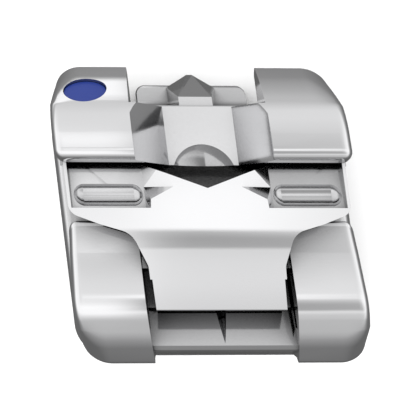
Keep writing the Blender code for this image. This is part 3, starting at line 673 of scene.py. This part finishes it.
def tongue_gap_cutter():
    """Clears the wings away above the tongue."""
    ends = (BRIDGE_TOP, UPPER_TIP + OVER)
    return block("tongue_gap", (-UPPER_GAP_HALF, UPPER_GAP_HALF), ends, (-OVER, UPPER_FRONT + OVER))


def tongue_core():
    """Sloping flank from the bridge down to the tongue of the base."""
    top = BRIDGE_LEVEL - FLANK_DROP
    start = BRIDGE_TOP - OVER / 2
    end = TONGUE_END - 2 * EMBED
    foot = BASE_THICKNESS / 2
    profile = rounded([
        (start, foot), (start, top), (BRIDGE_TOP + EMBED, top, EMBED),
        (BRIDGE_TOP + FLANK_RUN, BASE_THICKNESS + FLANK_RUN, FLANK_FILLET),
        (end, BASE_THICKNESS - EMBED), (end, foot)])
    half = TONGUE_HALF_WIDTH - EMBED
    core = prism("tongue_core", profile, -half - OVER, half + OVER, "X")
    plan = rounded([
        (-half, start - OVER), (half, start - OVER),
        (half, end + EMBED, TONGUE_CORNER), (-half, end + EMBED, TONGUE_CORNER)])
    keep_inside(core, prism("tongue_plan", plan, 0, UPPER_FRONT, "Z"))
    return core


def channel_core():
    """Block that fills the space under the lower wings on the midline."""
    ends = (BASE_LOW_END + 2 * EMBED, NECK_LOWER + OVER / 2)
    half = LOWER_GAP_HALF + EMBED
    return block("channel_core", (-half, half), ends, (BASE_THICKNESS / 3, LOWER_TIP_LEVEL - EMBED))


def travel_shear():
    """Leans an upright shape and tilts it along the slide's travel, from the stop face on."""
    slope = math.tan(SLIDE_ANGLE)
    return Matrix(((1, -LEAN, 0, 0), (0, 1, 0, 0), (0, -slope, 1, slope * STOP_FACE), (0, 0, 0, 1)))


def recess_level(y):
    """Height of the recess floor, which falls from the channel's end towards the tail."""
    start = ramp(STOP_FACE, CHANNEL_LEVEL, RECESS_START) - RECESS_DEPTH
    end = ramp(STOP_FACE, CHANNEL_LEVEL, CHANNEL_END)
    share = (RECESS_START - y) / (RECESS_START - CHANNEL_END)
    return start + (end - start) * share


def channel_cutter():
    """Room for the slide's tail between the lower wings, and the nose past its end."""
    far = LOWER_TIP - OVER
    edge = BASE_LOW_END + EMBED
    crest = ramp(STOP_FACE, CHANNEL_LEVEL, CHANNEL_END)
    profile = rounded([
        (STOP_FACE, UPPER_FRONT), (STOP_FACE, CHANNEL_LEVEL),
        (RECESS_START, ramp(STOP_FACE, CHANNEL_LEVEL, RECESS_START)),
        (RECESS_START, recess_level(RECESS_START)), (CHANNEL_END, crest),
        (CHANNEL_END - CHANNEL_NOSE, crest - CHANNEL_NOSE, CHANNEL_NOSE),
        (edge, BASE_THICKNESS - EMBED), (edge, -OVER), (far, -OVER), (far, UPPER_FRONT)])
    return prism("channel", profile, -LOWER_GAP_HALF, LOWER_GAP_HALF, "X")


def groove_cutter(side):
    """Groove for one rail, closed where the rail stops when the slide is fully open."""
    inner = LOWER_GAP_HALF - EMBED
    outer = RAIL_HALF_WIDTH + SLIDE_CLEARANCE
    floor = CHANNEL_LEVEL - GROOVE_STEP
    roof = floor + RAIL_THICKNESS + 2 * SLIDE_CLEARANCE
    end = RAIL_END - SLIDE_TRAVEL - END_CLEARANCE
    x = sorted((side * inner, side * outer))
    outline = [(x[0], floor), (x[1], floor), (x[1], roof), (x[0], roof)]
    return prism("groove_" + side_name(side), outline, end, STOP_FACE - EMBED, "Y", CUTTERS, travel_shear())


def head_recess_cutter(side):
    """Space under one upper lip for the top of the slide's head."""
    inner = V_HALF_WIDTH - SLIDE_CLEARANCE
    x = sorted((side * inner, side * (WING_HALF_WIDTH + OVER)))
    return block("head_recess_" + side_name(side), x, (SLOT_LOW_WALL, HEAD_TOP + END_CLEARANCE),
                 (SLOT_MOUTH, SLIDE_FRONT + SLIDE_CLEARANCE))


def scribe_cutter():
    """Pointed groove on the midline of the recess floor."""
    rings = []
    tip = SCRIBE_HALF_WIDTH / SCRIBE_TAPER
    for y, half in ((RECESS_START + EMBED, SCRIBE_HALF_WIDTH), (SCRIBE_END, tip)):
        level = recess_level(y)
        depth = SCRIBE_DEPTH * half / SCRIBE_HALF_WIDTH
        rings.append([(-half, y, level + EMBED / 2), (0, y, level - depth), (half, y, level + EMBED / 2)])
    return loft("scribe_groove", rings)


def wedge_ring(low_half, low_y, top_half, top_y, top_z):
    """Four corners of the wedge: two on the base and two on its ridge."""
    return [
        (-low_half, low_y, BASE_THICKNESS - EMBED), (low_half, low_y, BASE_THICKNESS - EMBED),
        (top_half, top_y, top_z), (-top_half, top_y, top_z)]


def wedge():
    """Faceted ridge on the midline of the tongue, pointing to the gum."""
    start = BRIDGE_TOP - 2 * EMBED
    foot = TONGUE_END - WEDGE_FOOT_SETBACK
    crest = BRIDGE_LEVEL - WEDGE_DROP
    return loft("midline_wedge", [
        wedge_ring(WEDGE_FOOT_HALF, start, WEDGE_RIDGE_HALF, start, crest),
        wedge_ring(WEDGE_FOOT_HALF, foot, WEDGE_RIDGE_HALF, BRIDGE_TOP + WEDGE_STEP, crest - WEDGE_DROP),
        wedge_ring(WEDGE_TIP_HALF, WEDGE_END, WEDGE_TIP_HALF, WEDGE_END, BASE_THICKNESS + WEDGE_HEIGHT)])


def retention_cutter():
    """Recess in the bonding face, leaving a rim and rows of undercut posts."""
    half = BASE_HALF_WIDTH - RIM_WIDTH
    ends = (BASE_LOW_END + RIM_WIDTH, BASE_SHOULDER - RIM_WIDTH)
    recess = block("retention_recess", (-half, half), ends, (-OVER, POST_DEPTH))
    for column in range(POSTS_ACROSS):
        for row in range(POSTS_UP):
            x = (column - (POSTS_ACROSS - 1) / 2) * POST_PITCH_ACROSS
            y = sum(ends) / 2 + (row - (POSTS_UP - 1) / 2) * POST_PITCH_UP
            cut(recess, post(f"post_{column}_{row}", x, y))
    return recess


def post(name, x, y):
    """Retention post, wider at its free end so that the adhesive locks round it."""
    wide = POST_SIZE / 2
    rings = []
    for z, half in ((-2 * OVER, wide), (0.0, wide), (POST_DEPTH + OVER, wide - POST_UNDERCUT)):
        rings.append([
            (x - half, y - half, z), (x + half, y - half, z),
            (x + half, y + half, z), (x - half, y + half, z)])
    return loft(name, rings)


def make_frame():
    """Wings, neck, channel, bridge and flank in one piece, before they are set on the base."""
    frame = make_wings()
    join(frame, channel_core())
    cut(frame, channel_cutter())
    cut(frame, tongue_gap_cutter())
    join(frame, tongue_core())
    cut(frame, bridge_cutter())
    join(frame, wedge())
    for side in (-1, 1):
        cut(frame, head_recess_cutter(side))
        cut(frame, groove_cutter(side))
    cut(frame, scribe_cutter())
    cut(frame, ball("notch", NOTCH_RADIUS, (0, NOTCH_PLACE, BRIDGE_LEVEL + NOTCH_LIFT)))
    return frame


def make_body():
    body = make_base()
    join(body, make_frame())
    cut(body, retention_cutter())
    cut(body, pin_bore())
    cut(body, dimple())
    clean(body)
    return body


def placed(y, z, tilt, x=0.0):
    """Place on the leaned midline or beside it, tilted about X."""
    spot = Vector((x - LEAN * y, y, z))
    return Matrix.Translation(spot) @ Matrix.Rotation(tilt, 4, "X")


def cylinder(name, radius, low, high, matrix, group=CUTTERS, segments=ROUND_SEGMENTS):
    shape = bmesh.new()
    bmesh.ops.create_cone(
        shape, cap_ends=True, segments=segments, radius1=radius, radius2=radius, depth=high - low)
    bmesh.ops.translate(shape, vec=(0, 0, (low + high) / 2), verts=shape.verts)
    mesh = mesh_from(name, shape)
    mesh.transform(matrix)
    return new_object(name, mesh, group)


def pin_matrix():
    """Foot of the spring pin, square to the slide's ramp."""
    return placed(PIN_PLACE, ramp(STOP_FACE, CHANNEL_LEVEL, PIN_PLACE), -SLIDE_ANGLE)


def pin_bore():
    depth = PIN_LENGTH - PIN_REACH + PIN_CLEARANCE
    return cylinder("pin_bore", PIN_RADIUS + PIN_CLEARANCE, -depth, OVER, pin_matrix())


def make_pin():
    """Slit spring tube, standing square to the slide's ramp."""
    low = -(PIN_LENGTH - PIN_REACH)
    pin = cylinder("spring_pin", PIN_RADIUS, low, PIN_REACH, pin_matrix(), PARTS)
    cut(pin, cylinder("pin_hollow", PIN_RADIUS - PIN_WALL, low - OVER, PIN_REACH + OVER, pin_matrix()))
    shape = bmesh.new()
    bmesh.ops.create_cube(shape, size=1)
    bmesh.ops.scale(shape, vec=(PIN_SLIT, PIN_RADIUS * 2, PIN_LENGTH * 2), verts=shape.verts)
    bmesh.ops.translate(shape, vec=(0, -PIN_RADIUS, 0), verts=shape.verts)
    mesh = mesh_from("pin_slit", shape)
    mesh.transform(pin_matrix())
    cut(pin, new_object("pin_slit", mesh, CUTTERS))
    return pin


def dot_matrix():
    """Middle of the dimple, square to the upper wing's sloping face."""
    bend = upper_slope(0, 0)
    line = upper_slope(1, 0) - bend
    y, z = upper_slope(DOT_DOWN_SLOPE / line.length, UPPER_BULGE)
    return placed(y, z, math.atan2(line.y, line.x), DOT_PLACE)


def dimple():
    return cylinder("dimple", DOT_RADIUS, -DOT_DEPTH, OVER, dot_matrix(), segments=DIMPLE_SEGMENTS)


def make_dot():
    low = DOT_CLEARANCE - DOT_DEPTH
    radius = DOT_RADIUS - DOT_CLEARANCE
    return cylinder("orientation_dot", radius, low, low + DOT_FILL, dot_matrix(), PARTS, DOT_SEGMENTS)


def slide_profile():
    """Side view of the slide: the head's plate over the slot and the tail down to the channel floor."""
    low = CHANNEL_LEVEL + SLIDE_CLEARANCE
    start = STOP_FACE - SLIDE_CLEARANCE
    return rounded([
        (HEAD_TOP, SLIDE_BACK), (HEAD_TOP, SLIDE_FRONT), (TAIL_BEND, SLIDE_FRONT, TAIL_BEND_RADIUS),
        (TAIL_END, TAIL_FRONT_LEVEL, TAIL_EDGE_ROUND), (TAIL_END, ramp(STOP_FACE, low, TAIL_END)),
        (start, ramp(STOP_FACE, low, start)), (start, SLIDE_BACK)], steps=SLIDE_STEPS)


def shoulder_cutter(side):
    """Clears the space under one shoulder of the head, along the slide's travel."""
    seat = SLOT_LOW_WALL - SLIDE_CLEARANCE
    near = seat + OVER / 2
    far = TAIL_END - OVER
    slope = math.tan(SLIDE_ANGLE)
    profile = [
        (near, SLIDE_BACK + (seat - near) * slope), (far, SLIDE_BACK + (seat - far) * slope),
        (far, SLOT_FLOOR), (near, SLOT_FLOOR)]
    x = sorted((side * (TAIL_HALF_WIDTH - EMBED), side * (HEAD_HALF_WIDTH + OVER)))
    return prism("under_shoulder_" + side_name(side), profile, x[0], x[1], "X")


def head_plan():
    """T outline: a head as wide as the bracket, shoulders that sweep in, and the tail."""
    w = HEAD_HALF_WIDTH
    t = TAIL_HALF_WIDTH
    right = [
        (0, V_POINT), (V_HALF_WIDTH, V_TOP), (V_HALF_WIDTH, HEAD_TOP + OVER), (w, HEAD_TOP + OVER),
        (w, HEAD_LOW, HEAD_CORNER), (w - SHOULDER_RUN, SHOULDER_LEVEL, SHOULDER_ROUND),
        (t + WAIST_RUN, WAIST_LEVEL, WAIST_ROUND), (t, TAIL_START, TAIL_CORNER), (t, TAIL_END - OVER)]
    left = [(-c[0], *c[1:]) for c in reversed(right[1:])]
    return rounded(right + left)


def rail_profile():
    low = CHANNEL_LEVEL - GROOVE_STEP + SLIDE_CLEARANCE
    start = STOP_FACE - SLIDE_CLEARANCE - EMBED
    end = RAIL_END
    return [
        (start, ramp(STOP_FACE, low, start)), (start, ramp(STOP_FACE, low, start) + RAIL_THICKNESS),
        (end, ramp(STOP_FACE, low, end) + RAIL_THICKNESS), (end, ramp(STOP_FACE, low, end))]


def pocket_level(y):
    """Height of the pocket floors, which fall towards the gum."""
    return SLIDE_FRONT - POCKET_DEPTH - (y - POCKET_LOW) * math.tan(POCKET_SLOPE)


def pocket_cutter(side):
    """One pocket of the head, with the slanted facet beside the raised tab."""
    outer = HEAD_HALF_WIDTH - POCKET_RIM
    top = HEAD_TOP + OVER
    tab = 2 * TAB_TOP_HALF - POCKET_INNER
    foot = 2 * TAB_FOOT_HALF - POCKET_INNER
    below = [(outer, top), (POCKET_INNER, top), (POCKET_INNER, TAB_TOP), (POCKET_INNER, POCKET_LOW),
             (outer, POCKET_LOW)]
    above = [(outer, top), (tab, top), (tab, TAB_TOP), (foot, POCKET_LOW), (outer, POCKET_LOW)]
    rings = [
        [(side * x, y, pocket_level(y)) for x, y in below],
        [(side * x, y, 2 * SLIDE_FRONT - pocket_level(y)) for x, y in above]]
    return loft("pocket_" + side_name(side), rings)


def trough_cutter(side):
    """Round-ended trough for the opening tool, along the low edge of one pocket."""
    bar = math.hypot(TROUGH_RADIUS, TROUGH_LIFT)
    inner = POCKET_INNER + TROUGH_MARGIN + TROUGH_RADIUS - bar
    outer = HEAD_HALF_WIDTH - POCKET_RIM - TROUGH_MARGIN
    ends = sorted((side * inner, side * outer))
    y = POCKET_LOW + bar + TROUGH_MARGIN
    return round_bar("trough_" + side_name(side), bar, ends, y, pocket_level(y) + TROUGH_LIFT)


def keyhole(seat, run, length):
    """Outline of a round seat at the origin and a narrower round-ended run up to length."""
    neck = math.asin(run / seat)
    full = 2 * (math.pi - neck)
    points = []
    for i in range(SEAT_STEPS + 1):
        angle = math.pi / 2 + neck + full * i / SEAT_STEPS
        points.append((seat * math.cos(angle), seat * math.sin(angle)))
    for i in range(RUN_STEPS + 1):
        angle = math.pi * i / RUN_STEPS
        points.append((run * math.cos(angle), length + run * math.sin(angle)))
    return points


def retaining_slot():
    """Blind slot in the slide's back: a round seat for the closed position, then a straight run."""
    outline = keyhole(PIN_RADIUS + SEAT_EXTRA, PIN_RADIUS + PIN_CLEARANCE, SLIDE_TRAVEL + END_CLEARANCE)
    turned = pin_matrix() @ Matrix.Rotation(math.atan(LEAN), 4, "Z")
    return prism("retaining_slot", outline, -OVER, PIN_REACH + 2 * SLIDE_CLEARANCE, "Z", CUTTERS, turned)


def make_slide():
    slide = prism("slide", slide_profile(), -HEAD_HALF_WIDTH - OVER, HEAD_HALF_WIDTH + OVER, "X", PARTS)
    keep_inside(slide, prism("slide_plan", head_plan(), 0, UPPER_FRONT + OVER, "Z"))
    for side in (-1, 1):
        cut(slide, shoulder_cutter(side))
    join(slide, prism("rails", rail_profile(), -RAIL_HALF_WIDTH, RAIL_HALF_WIDTH, "X"))
    for side in (-1, 1):
        cut(slide, pocket_cutter(side))
        cut(slide, trough_cutter(side))
    cut(slide, retaining_slot())
    clean(slide)
    return slide


def baked(obj):
    """Apply the cuts and joins, and leave a plain mesh."""
    bpy.context.view_layer.update()
    graph = bpy.context.evaluated_depsgraph_get()
    mesh = bpy.data.meshes.new_from_object(obj.evaluated_get(graph))
    obj.modifiers.clear()
    obj.data = mesh
    shape = bmesh.new()
    shape.from_mesh(mesh)
    bmesh.ops.triangulate(shape, faces=shape.faces[:])
    shape.to_mesh(mesh)
    shape.free()
    return obj


def soft_edges(obj, width, fold):
    """Smooth shading with crisp folds, and a small round on every sharp edge."""
    obj.data.shade_smooth()
    obj.data.set_sharp_from_angle(angle=math.radians(fold))
    bevel = obj.modifiers.new("soft_edges", "BEVEL")
    bevel.width = width
    bevel.segments = EDGE_SEGMENTS
    bevel.limit_method = "ANGLE"
    bevel.angle_limit = math.radians(EDGE_ANGLE)
    bevel.harden_normals = True
    return obj


def node(tree, kind, **values):
    made = tree.nodes.new(kind)
    for key, value in values.items():
        setattr(made, key, value)
    return made


def mapped(tree, value, taken, given=(0, 1), curve="LINEAR"):
    """A value taken from one range and given in another."""
    made = node(tree, "ShaderNodeMapRange", interpolation_type=curve)
    made.inputs["From Min"].default_value = taken[0]
    made.inputs["From Max"].default_value = taken[1]
    made.inputs["To Min"].default_value = given[0]
    made.inputs["To Max"].default_value = given[1]
    tree.links.new(value, made.inputs["Value"])
    return made.outputs["Result"]


def worked_out(tree, operation, first, second):
    """Result of an operation on two values."""
    made = node(tree, "ShaderNodeMath", operation=operation)
    for value, socket in zip((first, second), made.inputs):
        tree.links.new(value, socket)
    return made.outputs["Value"]


def colour_mix(tree, blend):
    """Mixing node for colours, with its two colour inputs and its colour output."""
    made = node(tree, "ShaderNodeMix", data_type="RGBA", blend_type=blend)
    first, second = [socket for socket in made.inputs if socket.type == "RGBA"]
    result, = [socket for socket in made.outputs if socket.type == "RGBA"]
    return made, first, second, result


def noise(tree, place, scale, detail, stretch=(1, 1, 1)):
    """Noise value over the object, optionally stretched along an axis."""
    mapping = node(tree, "ShaderNodeMapping")
    mapping.inputs["Scale"].default_value = stretch
    tree.links.new(place.outputs["Object"], mapping.inputs["Vector"])
    made = node(tree, "ShaderNodeTexNoise")
    made.inputs["Scale"].default_value = scale
    made.inputs["Detail"].default_value = detail
    tree.links.new(mapping.outputs["Vector"], made.inputs["Vector"])
    return made.outputs["Fac"]


def new_material(name):
    """Material with its tree and its main shader."""
    material = bpy.data.materials.new(name)
    material.use_nodes = True
    return material, material.node_tree, material.node_tree.nodes["Principled BSDF"]


def colour_with_painted_shade(tree, colour, painted_shade_tone):
    """The metal's colour with painted shade: darker where ambient occlusion finds it recessed."""
    hollow = node(tree, "ShaderNodeAmbientOcclusion", samples=PAINTED_SHADE_SAMPLES)
    hollow.inputs["Distance"].default_value = PAINTED_SHADE_REACH
    # Painted shade: the colour is multiplied down towards the shade tone where occlusion is high
    depth = mapped(tree, hollow.outputs["AO"], (PAINTED_SHADE_DARK, PAINTED_SHADE_LIGHT), (painted_shade_tone, 1))
    tone, first, second, result = colour_mix(tree, "MULTIPLY")
    tone.inputs["Factor"].default_value = 1.0
    first.default_value = (*colour, 1)
    tree.links.new(depth, second)
    return result


def polishing_lines(tree, place):
    """Surface direction with fine polishing lines."""
    bump = node(tree, "ShaderNodeBump")
    bump.inputs["Strength"].default_value = LINE_STRENGTH
    bump.inputs["Distance"].default_value = LINE_DEPTH
    lines = noise(tree, place, LINE_SCALE, LINE_DETAIL, LINE_STRETCH)
    tree.links.new(lines, bump.inputs["Height"])
    return bump.outputs["Normal"]


def metal(name, colour, roughness, painted_shade_tone):
    """Polished metal: painted shade darkens its colour where it is recessed, with a cloudy polish and fine
    polishing lines.
    """
    material, tree, shader = new_material(name)
    shader.inputs["Metallic"].default_value = 1.0
    place = node(tree, "ShaderNodeTexCoord")
    cloud = noise(tree, place, CLOUD_SCALE, CLOUD_DETAIL)
    spread = ((1 - CLOUD_SPREAD) * roughness, (1 + CLOUD_SPREAD) * roughness)
    tree.links.new(mapped(tree, cloud, (0, 1), spread), shader.inputs["Roughness"])
    # Base colour carries painted shade in the recesses
    tree.links.new(colour_with_painted_shade(tree, colour, painted_shade_tone), shader.inputs["Base Color"])
    tree.links.new(polishing_lines(tree, place), shader.inputs["Normal"])
    return material


def plain(name, colour, roughness):
    """Even, non-metallic surface."""
    material, _, shader = new_material(name)
    shader.inputs["Base Color"].default_value = colour
    shader.inputs["Roughness"].default_value = roughness
    return material


def side_angle(tree, parts, axis):
    """Angle of a direction from straight up towards one axis, as 0 to 1 over a full turn."""
    angle = worked_out(tree, "ARCTAN2", parts.outputs[axis], parts.outputs["Z"])
    return mapped(tree, angle, (-math.pi, math.pi))


def band_ramp(tree, share, bands):
    """Grey bands given as (degrees from straight up, brightness)."""
    made = node(tree, "ShaderNodeValToRGB")
    stops = made.color_ramp.elements
    for stop, (_, value) in zip((stops[0], stops[1]), (bands[0], bands[-1])):
        stop.color = (value, value, value, 1)
    for degrees, value in bands[1:-1]:
        stop = stops.new((degrees + 180) / 360)
        stop.color = (value, value, value, 1)
    tree.links.new(share, made.inputs["Fac"])
    return made.outputs["Color"]


def mixed(tree, share, low, high):
    """Blend of two colours by a share."""
    made, first, second, result = colour_mix(tree, "MIX")
    tree.links.new(share, made.inputs["Factor"])
    tree.links.new(low, first)
    tree.links.new(high, second)
    return result


def make_world():
    """White studio with soft grey bands up and down the bracket, brighter at its left, and across it."""
    world = bpy.data.worlds.new("studio")
    bpy.context.scene.world = world
    world.use_nodes = True
    tree = world.node_tree
    place = node(tree, "ShaderNodeTexCoord")
    parts = node(tree, "ShaderNodeSeparateXYZ")
    tree.links.new(place.outputs["Generated"], parts.inputs["Vector"])
    x, y = parts.outputs["X"], parts.outputs["Y"]
    up_and_down = side_angle(tree, parts, "Y")
    left = band_ramp(tree, up_and_down, BANDS_LEFT)
    right = band_ramp(tree, up_and_down, BANDS_RIGHT)
    across = band_ramp(tree, side_angle(tree, parts, "X"), BANDS_ACROSS)
    along = mixed(tree, mapped(tree, x, (LEFT_PART, RIGHT_PART), curve="SMOOTHSTEP"), left, right)
    x_squared = worked_out(tree, "MULTIPLY", x, x)
    y_squared = worked_out(tree, "MULTIPLY", y, y)
    weight = worked_out(tree, "DIVIDE", y_squared, worked_out(tree, "ADD", x_squared, y_squared))
    back = tree.nodes["Background"]
    back.inputs["Strength"].default_value = WORLD_STRENGTH
    tree.links.new(mixed(tree, weight, across, along), back.inputs["Color"])


def make_floor():
    bpy.ops.mesh.primitive_plane_add(size=FLOOR_SIZE)
    floor = bpy.context.object
    floor.name = "floor"
    floor.data.materials.append(plain("pale_floor", FLOOR_COLOUR, FLOOR_ROUGHNESS))
    floor.visible_glossy = False


def make_sun():
    sun = bpy.data.lights.new("sky_light", "SUN")
    sun.energy = SUN_STRENGTH
    sun.angle = math.radians(SUN_SOFTNESS)
    sun.specular_factor = 0
    lamp = bpy.data.objects.new("sky_light", sun)
    lamp.rotation_euler = (math.radians(SUN_LOW), math.radians(-SUN_LEFT), 0)
    lamp.visible_glossy = False
    bpy.context.scene.collection.objects.link(lamp)


def make_camera():
    """Camera in front of the bracket, slightly to the biting side and to the left, as in the photograph."""
    left = math.tan(math.radians(CAMERA_LEFT))
    low = math.tan(math.radians(CAMERA_LOW))
    back = Vector((-left, -low, 1)).normalized()
    right = Vector((0, 1, 0)).cross(back).normalized()
    up = back.cross(right)
    data = bpy.data.cameras.new("camera")
    data.lens = data.sensor_width * CAMERA_DISTANCE / VIEW_WIDTH
    data.clip_start = CLIP_NEAR * CAMERA_DISTANCE
    data.clip_end = CLIP_FAR * CAMERA_DISTANCE
    camera = bpy.data.objects.new("camera", data)
    turn = Matrix((right, up, back)).transposed().to_4x4()
    camera.matrix_world = Matrix.Translation(Vector(LOOK_AT) + back * CAMERA_DISTANCE) @ turn
    bpy.context.scene.collection.objects.link(camera)
    bpy.context.scene.camera = camera


def frame_offset(body):
    """Sideways step from where the shapes are drawn to where the part's frame has them."""
    cad_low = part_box("bracket_body")[0]
    body_low = Vector([min(v.co[i] for v in body.data.vertices) for i in range(3)])
    offset = Vector(cad_low) - body_low
    offset.z = 0
    return offset


def dress(obj, material, body, replaced):
    obj.data.materials.clear()
    obj.data.materials.append(material)
    obj.location = OFFSET
    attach(obj, body)
    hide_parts(replaced)


make_camera()
make_world()
make_floor()
make_sun()

body = soft_edges(baked(make_body()), EDGE, BODY_FOLD)
slide = soft_edges(baked(make_slide()), EDGE, SLIDE_FOLD)
pin = soft_edges(baked(make_pin()), PIN_EDGE, BODY_FOLD)
dot = baked(make_dot())
OFFSET = frame_offset(body)

dress(body, metal("body_steel", *BODY_STEEL), "body", "bracket_body")
dress(slide, metal("slide_steel", *SLIDE_STEEL), "door", "slide")
dress(pin, metal("spring_alloy", *SPRING_ALLOY), "body", "spring_pin")
dress(dot, plain("blue_fill", DOT_COLOUR, DOT_ROUGHNESS), "body", "orientation_dot")

for cutter in list(CUTTERS.objects):
    bpy.data.objects.remove(cutter)
for piece in (body, slide, pin, dot):
    piece.name = "polished_" + piece.name

bpy.context.scene.view_settings.view_transform = "Standard"
